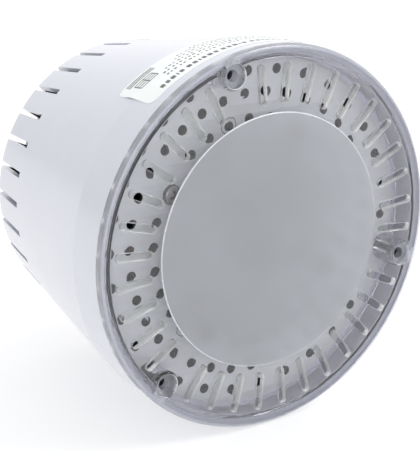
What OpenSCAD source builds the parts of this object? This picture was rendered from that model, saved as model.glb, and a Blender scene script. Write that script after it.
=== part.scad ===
// Screw-in LED pool lamp. The lamp's axis lies along Y: the lens faces -Y and the screw base +Y.
// Inside the lamp() wrapper, depths run along local Z, from the lens's front face to the base.

/* [Lens] */
// Outer radius of the lens and of the housing's front edge
rim_r = 74.4; // [73:0.1:76]
// Thickness of the lens's flat plate
plate_t = 2.4; // [2:0.1:3]
// Radius of the frosted disc in the middle of the lens
disc_r = 49.4; // [40:0.2:51]
// How far the frosted disc stands proud of the lens
disc_t = 0.4; // [0.2:0.1:0.8]
// Number of places around the lens that hold an air slot or a screw pocket
slot_places = 36; // [36:12:36]
// Radius of an air slot's inner end
slot_in_r = 52.7; // [52:0.1:55]
// Radius of an air slot's outer end
slot_out_r = 67.9; // [66:0.1:68]
// Width of an air slot
slot_w = 3; // [2:0.1:3.4]
// Radius of the circle that the lens screws stand on
pocket_r = 66.8; // [66.5:0.1:67]
// Angle of the first screw pocket about the lamp's axis, clockwise from the right as seen from the front
clock = -105; // [-180:1:180]

/* [Housing] */
// Depth of the housing's front edge
edge_d = 3; // [2.8:0.1:3.4]
// Depth at which the collar ends and the cone starts
knee_d = 20.5; // [18:0.5:24]
// Depth of the housing's rear face
rear_d = 112.5; // [112:0.5:120]
// Wall thickness of the housing
wall = 3; // [2.8:0.1:3.2]
// Radius of the cone where it meets the rear face
rear_r = 58.7; // [57:0.1:60]
// Number of vent slots
vents = 32; // [24:1:36]
// Width of a vent slot
vent_w = 2.4; // [2:0.1:3]
// Depth at which the vent slots start
vent_d = 87; // [84:0.5:92]
// How far the vent slots reach inwards over the rear face
vent_in = 9.2; // [8:0.1:14]
// Angle of the first vent slot about the lamp's axis, clockwise from the right as seen from the front
vent_from = -87.5; // [-180:0.5:180]

/* [Light engine] */
// Radius of the LED board
board_r = 68.2; // [67.5:0.1:68.5]
// Thickness of the LED board
board_t = 1.6; // [1.6:0.1:1.6]
// Distance between the lens's front face and the LED board
board_d = 13.6; // [13.6:0.1:13.6]
// Radius of an air hole
air_r = 1.95; // [1.5:0.05:2.1]
// Side of the square that the board screws stand on
screw_sq = 60; // [60:1:60]

/* [Fan] */
// Side of the square fan
fan_w = 70; // [70:1:70]
// Depth of the fan's front face
fan_d = 26.2; // [26.2:0.1:26.2]
// Length of the fan along its axis
fan_t = 20; // [20:1:20]
// Number of fan blades
blades = 7; // [5:1:9]

/* [Screw base] */
// Radius over the crests of the base's thread
thread_r = 13.1; // [13.05:0.01:13.15]
// Pitch of the thread
pitch = 3.63; // [3.63:0.01:3.63]
// Depth of the middle of the thread, where the origin is
origin_d = 137; // [137:1:137]

/* [Hidden] */
$fn = 96;

eps = 0.05;               // clearance between pieces that fit into each other
over = 1;                 // how far a cutting shape runs past what it cuts
pockets = 3;
pocket_step = slot_places / pockets;
boss_r = 5.4;             // screw boss of the lens
lens_seat_d = 6.4;        // where the lens screws' heads seat in the bosses
knee_r = rim_r - 0.65;    // housing radius where collar and cone meet
cone_slope = (knee_r - rear_r) / (rear_d - knee_d);
board_back = board_d + board_t;
fan_back = fan_d + fan_t;
ledge_r = 66.9;           // ledge inside the housing that carries the LED board
ledge_t = 2.5;
lens_screw_r = 1.25;      // shank radii of the four kinds of screw and hole
screw_r = 1.75;
driver_screw_r = 1.5;
wire_hole_r = 1.1;
driver_d = 72;            // driver board: depth, thickness, radius and the circle of its screws
driver_t = 1.6;
driver_r = 50;
driver_back = driver_d + driver_t;
post_at_r = 42;
line_pad = [16, 14];      // where the mains wires are soldered
neutral_pad = [-24, -16];
neck_d = 124.5;           // end of the housing's neck, where the base shell starts
neck_bore_r = 8;
spigot_end = 142;
shell_in_r = 11.8;
shell_end = 148;
fan_bore_r = 33;
hub_r = 15;
hub_wall = 1.2;
shaft_r = 1.5;
bearing_r = 3;
bearing_tube_d = 31.5;
stator_d = 33;
stator_t = 8;

// Puts the lamp's own frame, with its depth along Z, into the part's frame
module lamp() {
    rotate([-90, 0, 0]) translate([0, 0, -origin_d]) children();
}

// Repeats a shape n times about the axis, from an angle
module ring(n, from = 0) {
    for (i = [0 : n - 1]) rotate([0, 0, from + i * 360 / n]) children();
}

// The four places of the board screws
module square_places() {
    rotate([0, 0, clock]) for (x = [-1, 1], y = [-1, 1])
        translate([x * screw_sq / 2, y * screw_sq / 2, 0]) children();
}

// A cylinder that starts at a depth
module post(r, from, to) {
    translate([0, 0, from]) cylinder(r = r, h = to - from);
}

// A washer or tube that starts at a depth
module tube(r, bore, from, to) {
    difference() {
        post(r, from, to);
        post(bore, from - over, to + over);
    }
}

// A block centred across the axis, from one depth to the other
module block(x, y, size_x, size_y, from, to) {
    translate([x - size_x / 2, y - size_y / 2, from]) cube([size_x, size_y, to - from]);
}

// The housing's outer radius at a depth
function outer_r(d) = d < knee_d
    ? rim_r - 0.2 - 0.45 * (d - edge_d) / (knee_d - edge_d)
    : knee_r - cone_slope * (d - knee_d);

// Points of an arc, from angle a to angle b
function arc(x, y, r, a, b, n = 6) = [for (i = [0 : n]) let (t = a + (b - a) * i / n)
    [x + r * cos(t), y + r * sin(t)]];

module housing_body() {
    corner = 3;
    neck_r = 19;
    rotate_extrude() polygon(concat(
        [[outer_r(edge_d) - wall, edge_d], [outer_r(edge_d), edge_d], [knee_r, knee_d]],
        arc(outer_r(rear_d - corner) - corner, rear_d - corner, corner, 9, 90),
        [[neck_r + 5, rear_d], [neck_r, rear_d + 3], [neck_r - 3, neck_d]],
        [[shell_in_r - eps, neck_d], [shell_in_r - eps, spigot_end], [neck_bore_r, spigot_end]],
        [[neck_bore_r, rear_d - wall], [outer_r(rear_d) - wall - 1, rear_d - wall]],
        [[outer_r(rear_d - wall) - wall, rear_d - wall - 1], [outer_r(knee_d) - wall, knee_d]],
        [[ledge_r, board_back + ledge_t]],
        [[ledge_r, board_back], [outer_r(board_back) - wall, board_back]]));
}

module rear_housing() {
    pillar_end = 34;
    pilot_end = 27;
    color([0.93, 0.93, 0.95]) lamp() difference() {
        union() {
            housing_body();
            ring(pockets, clock) translate([pocket_r, 0, 0]) post(4.4, board_back + 0.4, pillar_end);
            ring(4, 45) translate([post_at_r, 0, 0]) post(3.5, driver_back, rear_d - wall);
        }
        ring(pockets, clock) translate([pocket_r, 0, 0]) {
            post(boss_r + 0.3, edge_d - over, board_d + 0.3);
            post(lens_screw_r + eps, board_back - over, pilot_end);
        }
        ring(4, 45) translate([post_at_r, 0, 0])
            post(driver_screw_r + eps, driver_back - over, driver_back + 10);
        ring(vents, vent_from) translate([rear_r - vent_in, -vent_w / 2, vent_d])
            cube([vent_in + 10, vent_w, rear_d]);
    }
}

// Cuts one of the lens's open slots, a straight bar with round ends
module lens_slot() {
    straight = slot_out_r - slot_in_r - slot_w;
    translate([(slot_in_r + slot_out_r) / 2, 0, 0]) {
        block(0, 0, straight, slot_w, -over, plate_t + over);
        for (x = [-1, 1]) translate([x * straight / 2, 0, 0])
            post(slot_w / 2, -over, plate_t + over);
    }
}

module front_lens() {
    edge = 1.6;
    skirt_out = 70.8;
    skirt_in = 69.5;
    skirt_end = 12;
    sink_r = 4.4;
    sink_d = 2.2;
    bore_r = 2.25;
    color([0.80, 0.83, 0.87, 0.45]) lamp() difference() {
        union() {
            rotate_extrude() polygon(concat(
                [[0, -disc_t], [disc_r - disc_t, -disc_t], [disc_r, 0]],
                arc(rim_r - 0.05 - edge, edge, edge, -90, 0),
                [[rim_r - 0.05, edge_d], [skirt_out, edge_d], [skirt_out, skirt_end]],
                [[skirt_in, skirt_end], [skirt_in, plate_t], [0, plate_t]]));
            ring(pockets, clock) translate([pocket_r, 0, 0]) post(boss_r, plate_t - 0.2, board_d);
        }
        for (i = [0 : slot_places - 1]) if (i % pocket_step != 0)
            rotate([0, 0, clock + i * 360 / slot_places]) lens_slot();
        ring(pockets, clock) translate([pocket_r, 0, 0]) {
            post(sink_r, -over, sink_d);
            post(bore_r, -over, lens_seat_d);
            post(lens_screw_r + eps, 0, board_d + over);
        }
    }
}

// A round-headed screw with a cross recess, its head's seat at a depth
module pan_screw(head_r, head_t, shank_r, seat, end) {
    slot = head_r * 0.28;
    difference() {
        union() {
            post(head_r, seat - head_t * 0.55, seat);
            translate([0, 0, seat - head_t * 0.55]) intersection() {
                translate([0, 0, head_r * 1.5]) sphere(r = head_r * 1.83);
                translate([0, 0, -head_t * 0.45]) cylinder(r = head_r, h = head_t);
            }
        }
        for (a = [0, 90]) rotate([0, 0, a])
            block(0, 0, head_r * 1.2, slot, seat - head_t - over, seat - head_t * 0.35);
    }
    post(shank_r, seat - head_t * 0.2, end);
}

module lens_screws() {
    color([0.12, 0.12, 0.13]) lamp() ring(pockets, clock) translate([pocket_r, 0, 0])
        pan_screw(2.05, 1.8, lens_screw_r, lens_seat_d, 25);
}

module rating_label() {
    glue_t = 0.01;
    label_t = 0.2;
    label_front = 7.8;
    label_rear = 34.2;
    label_from = -130;
    label_sweep = 78;
    color([0.97, 0.97, 0.96]) lamp() rotate([0, 0, label_from]) rotate_extrude(angle = label_sweep)
        polygon([for (d_and_t = [[label_front, glue_t], [label_front, label_t], [knee_d, label_t],
            [label_rear, label_t], [label_rear, glue_t], [knee_d, glue_t]])
            [outer_r(d_and_t[0]) + d_and_t[1], d_and_t[0]]]);
}

// True when an air hole at an angle would sit under one of the board screws
function near_screw(a) = min([for (s = [45 : 90 : 315]) abs(a - s)]) < 10;

// Drills a ring of air holes, leaving out those that the list of angles names
module air_ring(r, n, skip = []) {
    for (i = [0 : n - 1]) let (a = i * 360 / n)
        if (len(search(a, skip)) == 0)
            rotate([0, 0, a]) translate([r, 0, 0]) circle(r = air_r, $fn = 24);
}

module led_board() {
    inner_ring_r = 44.8;
    middle_ring_r = 54.8;
    outer_ring_r = 63.3;
    inner_places = 30;
    color([0.88, 0.89, 0.88]) lamp() translate([0, 0, board_d]) rotate([0, 0, clock])
        linear_extrude(board_t) difference() {
            circle(r = board_r, $fn = 180);
            air_ring(inner_ring_r, inner_places,
                [for (i = [0 : inner_places - 1]) let (a = i * 12) if (near_screw(a)) a]);
            air_ring(middle_ring_r, 35);
            air_ring(outer_ring_r, 30, [0, 120, 132, 240]);
            for (x = [-1, 1], y = [-1, 1]) translate([x, y] * screw_sq / 2)
                circle(r = screw_r + eps, $fn = 24);
            for (a = [0 : 120 : 240]) rotate(a) {
                translate([pocket_r, 0]) circle(r = 1.5, $fn = 24);
                translate([pocket_r, -1.5]) square([over + 2, 3]);
            }
        }
}

// One surface-mounted emitter: a square body and a round dome
module emitter() {
    block(0, 0, 3.5, 3.5, board_d - 0.9, board_d);
    translate([0, 0, board_d - 0.9]) intersection() {
        sphere(r = 1.4, $fn = 24);
        translate([-2, -2, -2]) cube([4, 4, 2.4]);
    }
}

module led_emitters() {
    color([0.96, 0.90, 0.62]) lamp() for (k = [1 : 3])
        ring(6 * k, clock + 15) translate([12 * k, 0, 0]) emitter();
}

module board_screws() {
    color([0.72, 0.73, 0.74]) lamp() square_places()
        pan_screw(3.5, 2.6, screw_r, board_d, fan_back + 4.2);
}

module heat_sink() {
    sink_r = 33;
    base_t = 2;
    fin_t = 1.2;
    fin_step = 6;
    color([0.62, 0.63, 0.65]) lamp() {
        post(sink_r, board_back, board_back + base_t);
        intersection() {
            post(sink_r, board_back + base_t - 0.2, board_back + 8);
            for (i = [-5 : 5]) translate([i * fin_step - fin_t / 2, -sink_r, board_back])
                cube([fin_t, 2 * sink_r, 10]);
        }
    }
}

module fan_spacers() {
    color([0.85, 0.85, 0.83]) lamp() square_places() tube(3.2, screw_r + eps, board_back, fan_d);
}

module fan_nuts() {
    color([0.70, 0.71, 0.72]) lamp() square_places() difference() {
        translate([0, 0, fan_back]) cylinder(r = 3.5, h = 2.8, $fn = 6);
        post(screw_r + eps, fan_back - over, fan_back + 4);
    }
}

// A square flange of the fan with rounded corners
module fan_flange(from, to) {
    corner_r = 4;
    side = fan_w / 2 - corner_r;
    block(0, 0, 2 * side, fan_w, from, to);
    block(0, 0, fan_w, 2 * side, from, to);
    for (x = [-1, 1], y = [-1, 1]) translate([x * side, y * side, 0]) post(corner_r, from, to);
}

module fan_frame() {
    flange_t = 3.5;
    barrel_r = 34.6;
    plate_r = 14;
    strut_w = 4;
    strut_t = 2;
    strut_from = fan_back - strut_t;
    color([0.10, 0.10, 0.11]) lamp() difference() {
        union() {
            difference() {
                union() {
                    rotate([0, 0, clock]) fan_flange(fan_d, fan_d + flange_t);
                    rotate([0, 0, clock]) fan_flange(fan_back - flange_t, fan_back);
                    post(barrel_r, fan_d, fan_back);
                    square_places() post(4, fan_d, fan_back);
                }
                post(fan_bore_r, fan_d - over, fan_back + over);
            }
            post(plate_r, strut_from, fan_back);
            post(bearing_r + 1, bearing_tube_d, fan_back);
            ring(4, clock + 20) translate([0, -strut_w / 2, strut_from])
                cube([fan_bore_r + 1, strut_w, strut_t]);
        }
        post(bearing_r, bearing_tube_d - over, strut_from);
        square_places() post(screw_r + eps, fan_d - over, fan_back + over);
    }
}

module fan_rotor() {
    cap_d = 28.2;
    cap_t = 1.8;
    cup_end = 42.5;
    blade_t = 1.3;
    blade_pitch = 38;
    tip_r = fan_bore_r - 0.7;
    color([0.16, 0.16, 0.17]) lamp() {
        difference() {
            post(hub_r, cap_d, cup_end);
            post(hub_r - hub_wall, cap_d + cap_t, cup_end + over);
            post(shaft_r, cap_d - over, cup_end);
        }
        tube(3.5, shaft_r, cap_d + cap_t - 0.2, bearing_tube_d - 0.5);
        intersection() {
            tube(tip_r, hub_r - 0.3, cap_d + 0.3, cup_end - 0.3);
            ring(blades) translate([0, 0, (cap_d + cup_end) / 2]) rotate([blade_pitch, 0, 0])
                translate([hub_r - 0.6, -11, -blade_t / 2]) cube([20, 22, blade_t]);
        }
    }
}

module fan_shaft() {
    color([0.75, 0.76, 0.78]) lamp() post(shaft_r, 28.2, 43.8);
}

module fan_bearing() {
    color([0.72, 0.56, 0.30]) lamp() tube(bearing_r, shaft_r + 0.03, 31.8, 43.5);
}

module fan_stator() {
    pole_r = 11.4;
    stator_end = stator_d + stator_t;
    color([0.45, 0.46, 0.48]) lamp() difference() {
        union() {
            post(6, stator_d, stator_end);
            for (a = [0, 90]) rotate([0, 0, a]) {
                block(0, 0, 2 * pole_r - 2, 3, stator_d, stator_end);
                intersection() {
                    tube(pole_r, pole_r - 1.6, stator_d, stator_end);
                    block(0, 0, 2 * pole_r, 13, stator_d - over, stator_end + over);
                }
            }
        }
        post(bearing_r + 1, stator_d - over, stator_end + over);
    }
}

module fan_coils() {
    coil_t = 1.6;
    color([0.72, 0.38, 0.18]) lamp() ring(4) difference() {
        block(7.7, 0, 3, 3 + 2 * coil_t, stator_d - coil_t + 0.2, stator_d + stator_t + coil_t - 0.2);
        block(7.7, 0, 3.2, 3, stator_d, stator_d + stator_t);
    }
}

module fan_magnet() {
    color([0.22, 0.22, 0.24]) lamp() tube(hub_r - hub_wall, 12.2, 31, 42);
}

module driver_board() {
    color([0.10, 0.36, 0.20]) lamp() translate([0, 0, driver_d]) linear_extrude(driver_t) difference() {
        circle(r = driver_r, $fn = 120);
        for (a = [45 : 90 : 315]) rotate(a) translate([post_at_r, 0])
            circle(r = driver_screw_r + eps, $fn = 24);
        for (pad = [line_pad, neutral_pad]) translate(pad) circle(r = wire_hole_r, $fn = 24);
    }
}

module driver_screws() {
    color([0.70, 0.71, 0.72]) lamp() ring(4, 45) translate([post_at_r, 0, 0])
        pan_screw(2.9, 2.2, driver_screw_r, driver_d, driver_back + 9);
}

module transformer() {
    color([0.20, 0.20, 0.21]) lamp() translate([-12, 0, 0]) difference() {
        block(0, 0, 25, 20, driver_d - 18, driver_d - 2);
        for (x = [-1, 1]) block(x * 7.5, 0, 5, 22, driver_d - 14.5, driver_d - 5.5);
    }
    color([0.80, 0.66, 0.20]) lamp() translate([-12, 0, 0]) difference() {
        block(0, 0, 15 - eps, 24, driver_d - 14.5 + eps, driver_d - 5.5 - eps);
        block(0, 0, 10, 20, driver_d - 14.5, driver_d - 5.5);
    }
    color([0.15, 0.15, 0.16]) lamp() translate([-12, 0, 0]) block(0, 0, 23, 18, driver_d - 2, driver_d);
}

module input_choke() {
    color([0.70, 0.38, 0.15]) lamp() translate([-16, 27, driver_d - 8.4]) rotate([90, 0, 0])
        rotate_extrude() translate([5.6, 0]) circle(r = 2.8, $fn = 24);
}

// An upright can with a rolled groove and a cross-scored top
module can(r, h) {
    top = driver_d - h;
    difference() {
        post(r, top, driver_d);
        tube(r + over, r - 0.5, driver_d - 3.2, driver_d - 2.2);
        for (a = [0, 90]) rotate([0, 0, a]) block(0, 0, r * 1.3, 0.5, top - over, top + 0.3);
    }
}

module bulk_capacitors() {
    color([0.16, 0.18, 0.28]) lamp() {
        translate([15, -18, 0]) can(6.3, 20);
        translate([15, -33, 0]) can(6.3, 20);
        translate([30, -14, 0]) can(4, 14);
    }
}

module film_capacitor() {
    color([0.80, 0.68, 0.15]) lamp() block(-34, 2, 7, 15, driver_d - 12, driver_d);
}

module bridge_rectifier() {
    x = -20;
    y = -22;
    color([0.14, 0.14, 0.15]) lamp() difference() {
        block(x, y, 18, 4, driver_d - 15, driver_d - 2);
        translate([x, y + 6, driver_d - 9]) rotate([90, 0, 0]) cylinder(r = 1.6, h = 12, $fn = 24);
    }
    color([0.7, 0.7, 0.72]) lamp() for (i = [-1.5 : 1.5])
        block(x + i * 4.2, y, 1, 0.6, driver_d - 2.2, driver_d);
}

module power_transistor() {
    color([0.14, 0.14, 0.15]) lamp() block(8, 30, 10, 4.4, driver_d - 13, driver_d - 4);
    color([0.68, 0.69, 0.71]) lamp() {
        difference() {
            block(8, 32.8, 10, 1.2, driver_d - 19, driver_d - 4);
            translate([8, 34, driver_d - 16]) rotate([90, 0, 0]) cylinder(r = 1.8, h = 3, $fn = 24);
        }
        for (i = [-1 : 1]) block(8 + i * 2.54, 30.6, 0.9, 0.6, driver_d - 4.2, driver_d);
    }
}

module fuse() {
    color([0.80, 0.82, 0.84]) lamp() translate([10, 9, driver_d - 3.2]) rotate([0, 90, 0]) {
        cylinder(r = 2.2, h = 20);
        for (x = [0, 15.5]) translate([0, 0, x]) cylinder(r = 2.6, h = 4.5);
    }
    color([0.7, 0.6, 0.3]) lamp() for (x = [12, 28]) block(x, 9, 2, 3, driver_d - 0.7, driver_d);
}

module controller_chip() {
    x = 24;
    y = 19;
    lead_step = 1.27;
    color([0.10, 0.10, 0.11]) lamp() block(x, y, 10, 7.5, driver_d - 2.2, driver_d - 0.3);
    color([0.7, 0.7, 0.72]) lamp() for (i = [-3.5 : 3.5], s = [-1, 1])
        block(x + i * lead_step, y + s * 4.2, 0.45, 1.6, driver_d - 1, driver_d);
}

// A two-way plug socket, open towards the front
module socket(x, y, w) {
    difference() {
        block(x, y, 6, w, driver_d - 8, driver_d);
        block(x, y, 4, w - 2, driver_d - 8 - over, driver_d - 2);
    }
}

module led_socket() {
    color([0.93, 0.92, 0.86]) lamp() socket(38, 0, 18);
}

module fan_socket() {
    color([0.93, 0.92, 0.86]) lamp() socket(-30, 16, 8);
}

module screw_shell() {
    land = 1.2;
    root_r = thread_r - 0.75;
    slope = 0.7;
    crests = [for (k = [-2 : 2]) origin_d + k * pitch];
    color([0.78, 0.76, 0.70]) lamp() rotate_extrude() polygon(concat(
        [[shell_in_r, neck_d], [thread_r + 0.5, neck_d]],
        [[thread_r + 0.5, neck_d + 2.6], [root_r, neck_d + 3.2]],
        [for (c = crests, p = [[root_r, -land / 2 - slope], [thread_r, -land / 2],
            [thread_r, land / 2], [root_r, land / 2 + slope]]) [p[0], c + p[1]]],
        [[root_r, 146], [10.6, shell_end], [10, shell_end], [shell_in_r, 145.6]]));
}

module base_insulator() {
    color([0.08, 0.07, 0.08]) lamp() rotate_extrude()
        polygon([[1.7, 146], [11.4, 146], [10 - eps, shell_end], [9.4, 149], [5.6, 151], [4.9, 151],
            [4.9, 150.2], [1.7, 150.2]]);
}

module centre_contact() {
    color([0.80, 0.72, 0.45]) lamp() {
        post(1.6, 148, 150.4);
        rotate_extrude() polygon(concat([[0, 150.2], [4.8, 150.2], [4.8, 151.2]],
            arc(0, 151.2 - 6.25, 7.88, 52.5, 90)));
    }
}

// A point of a smooth curve through four points, at t from 0 to 1 between the middle two
function curve_point(a, b, c, d, t) = 0.5 * (2 * b + (c - a) * t
    + (2 * a - 5 * b + 4 * c - d) * t * t + (3 * b - a - 3 * c + d) * t * t * t);

// A smooth path through a route's points
function smooth(p, n = 5) = let (m = len(p) - 1) concat(
    [for (i = [0 : m - 1], j = [0 : n - 1])
        curve_point(p[max(i - 1, 0)], p[i], p[i + 1], p[min(i + 2, m)], j / n)], [p[m]]);

function unit(v) = v / norm(v);

// A round wire along a route, its rings turned about a direction that the route never takes
module wire(route, r, side = [1, 0, 0]) {
    sides = 8;
    path = smooth(route);
    last = len(path) - 1;
    rings = [for (i = [0 : last]) let (
        along = unit(path[min(i + 1, last)] - path[max(i - 1, 0)]),
        u = unit(cross(along, side)),
        v = cross(along, u))
        for (k = [0 : sides - 1]) path[i] + r * (u * cos(k * 360 / sides) + v * sin(k * 360 / sides))];
    walls = [for (i = [0 : last - 1], k = [0 : sides - 1]) let (n = (k + 1) % sides)
        [i * sides + k, i * sides + n, (i + 1) * sides + n, (i + 1) * sides + k]];
    caps = [[for (k = [sides - 1 : -1 : 0]) k], [for (k = [0 : sides - 1]) last * sides + k]];
    polyhedron(points = rings, faces = concat(walls, caps), convexity = 6);
}

module line_wire() {
    color([0.12, 0.12, 0.13]) lamp()
        wire([[0, 0, 148], [0, 0, 140], [1, 1, 125], [2, 2, 110], [8, 7, 98], [14, 12, 87],
            [16, 14, 79], [16, 14, 72.4]], 1);
}

module neutral_wire() {
    color([0.90, 0.90, 0.88]) lamp()
        wire([[-11.6, 0, 144.8], [-8.8, 0, 144.7], [-6, 0, 142], [-5.6, -1, 134], [-5.6, -2, 122],
            [-6, -2, 110], [-12, -7, 99], [-20, -13, 89], [-24, -16, 80], [-24, -16, 72.4]], 1, [0, 1, 0]);
}

module led_leads() {
    color([0.12, 0.12, 0.13]) lamp() for (side = [-1, 1])
        wire([[38, 4 * side, 65.8], [39, 5 * side, 60], [47, 7 * side, 52], [52, 6 * side, 42],
            [52, 5 * side, 30], [50, 5 * side, 20], [50, 5 * side, board_back]], 0.9);
}

module fan_leads() {
    color([0.75, 0.10, 0.10]) lamp()
        wire([[-30, 17.4, 65.8], [-31, 18, 60], [-34, 18, 54], [-31, 14, 50], [-24, 9, 49],
            [-15, 5, 47.6], [-12, 4, 46.8]], 0.6, [0, 1, 0]);
    color([0.12, 0.12, 0.13]) lamp()
        wire([[-30, 14.6, 65.8], [-31, 14, 60], [-34, 13, 54], [-31, 9, 50.6], [-24, 5, 49.4],
            [-15, 2, 47.8], [-12, 1, 46.8]], 0.6, [0, 1, 0]);
}

rear_housing();
front_lens();
lens_screws();
rating_label();
led_board();
led_emitters();
board_screws();
heat_sink();
fan_spacers();
fan_nuts();
fan_frame();
fan_rotor();
fan_shaft();
fan_bearing();
fan_stator();
fan_coils();
fan_magnet();
driver_board();
driver_screws();
transformer();
input_choke();
bulk_capacitors();
film_capacitor();
bridge_rectifier();
power_transistor();
fuse();
controller_chip();
led_socket();
fan_socket();
screw_shell();
base_insulator();
centre_contact();
line_wire();
neutral_wire();
led_leads();
fan_leads();
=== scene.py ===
"""Looks of the screw-in LED pool lamp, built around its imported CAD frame.

Sizes are in millimetres, in the lamp's own terms: a radius from the axis, an angle clockwise
from the right as seen from the front, and a depth behind the lens's front face.
"""

import math

import bmesh
import bpy
from mathutils import Matrix, Vector


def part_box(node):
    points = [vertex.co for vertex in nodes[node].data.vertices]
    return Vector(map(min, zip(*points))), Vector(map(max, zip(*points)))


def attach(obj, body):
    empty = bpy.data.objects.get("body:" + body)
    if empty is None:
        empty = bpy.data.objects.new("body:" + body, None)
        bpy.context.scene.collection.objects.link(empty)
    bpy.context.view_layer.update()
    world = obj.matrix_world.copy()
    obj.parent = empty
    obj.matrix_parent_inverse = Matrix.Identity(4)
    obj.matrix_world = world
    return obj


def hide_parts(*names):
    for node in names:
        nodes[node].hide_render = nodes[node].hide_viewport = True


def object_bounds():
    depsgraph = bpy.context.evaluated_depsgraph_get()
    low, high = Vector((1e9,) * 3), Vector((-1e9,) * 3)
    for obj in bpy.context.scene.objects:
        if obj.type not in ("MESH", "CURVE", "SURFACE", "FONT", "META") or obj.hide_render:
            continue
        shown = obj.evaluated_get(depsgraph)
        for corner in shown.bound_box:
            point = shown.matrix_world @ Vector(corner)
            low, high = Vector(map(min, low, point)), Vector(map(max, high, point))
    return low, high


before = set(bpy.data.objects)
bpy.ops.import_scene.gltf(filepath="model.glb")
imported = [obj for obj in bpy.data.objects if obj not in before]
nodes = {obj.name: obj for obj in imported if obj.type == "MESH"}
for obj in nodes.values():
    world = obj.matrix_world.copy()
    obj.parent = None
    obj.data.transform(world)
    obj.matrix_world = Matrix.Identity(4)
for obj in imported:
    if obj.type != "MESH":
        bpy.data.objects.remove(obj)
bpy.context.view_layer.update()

MM = 0.001
DISC_T = 0.4
ORIGIN_D = -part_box("front_lens")[0].y / MM - DISC_T
CLOCK = -105

# lens
RIM_R = 74.35
DISC_R = 49.4
PLATE_T = 2.4
SLOT_IN_R = 52.7
SLOT_OUT_R = 67.9
SLOT_HALF_W = 1.5
SLOT_EASE = 0.06
SLOT_PLACES = 36
POCKET_R = 66.8
BOSS_R = 5.4
SINK_R = 4.4
SCREW_BORE_R = 2.25
SKIRT_OUT_R = 70.8
SKIRT_IN_R = 69.5
SKIRT_END = 12
SCREW_SEAT_D = 6.4

# housing
EDGE_D = 3
EDGE_GAP = 0.08
KNEE_D = 20.5
KNEE_R = 73.75
REAR_D = 112.5
REAR_R = 58.7
WALL = 3
CORNER_R = 3
VENTS = 32
VENT_W = 2.4
VENT_D = 87
VENT_END_R = 49.5
FIRST_VENT = -87.5
LEDGE_R = 66.9
LEDGE_T = 2.5
NECK_R = 19
NECK_D = 124.5
NECK_BORE_R = 8
SPIGOT_END = 142

# the housing's three pillars for the lens screws
PILLAR_R = 4.4
PILLAR_FROM = 15.6
PILLAR_TO = 34
PILLAR_PILOT_R = 1.3
PILLAR_PILOT_END = 27

# the housing's four posts for the driver board
POST_R = 3.5
POST_FOOT_R = 3.8
POST_FROM = 73.6
POST_PILOT_R = 1.55
POST_PILOT_END = 83.6
POST_AT_R = 42

# light engine
BOARD_D = 13.6
BOARD_T = 1.6
BOARD_R = 68.2
AIR_R = 1.95
INNER_RING_R = 44.8
MIDDLE_RING_R = 54.8
OUTER_RING_R = 63.3
HOLES_OUT_R = 66
SCREW_SQ = 60

# base
THREAD_R = 13.1
PITCH = 3.63
SHELL_IN_R = 11.8
SHELL_END = 148


# ---------------------------------------------------------------- geometry helpers

def place(x, y, d):
    """The point of the part's frame for a place across the axis and a depth."""
    return Vector((x, d - ORIGIN_D, -y)) * MM


def polar(r, angle):
    a = math.radians(angle)
    return r * math.cos(a), r * math.sin(a)


def rounded(corners, steps=5, closed=True):
    """An outline of (radius, depth) points; a corner given as (radius, depth, fillet) is rounded."""
    points, n = [], len(corners)
    for i, corner in enumerate(corners):
        p = Vector(corner[:2])
        fillet = corner[2] if len(corner) > 2 else 0
        if not fillet or (not closed and i in (0, n - 1)):
            points.append(tuple(p))
            continue
        u = (Vector(corners[i - 1][:2]) - p).normalized()
        v = (Vector(corners[(i + 1) % n][:2]) - p).normalized()
        half = u.angle(v) / 2
        centre = p + (u + v).normalized() * (fillet / math.sin(half))
        start = p + u * (fillet / math.tan(half)) - centre
        end = p + v * (fillet / math.tan(half)) - centre
        turn = math.atan2(start.cross(end), start.dot(end))
        for k in range(steps + 1):
            points.append(tuple(centre + Matrix.Rotation(turn * k / steps, 2) @ start))
    return points


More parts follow.
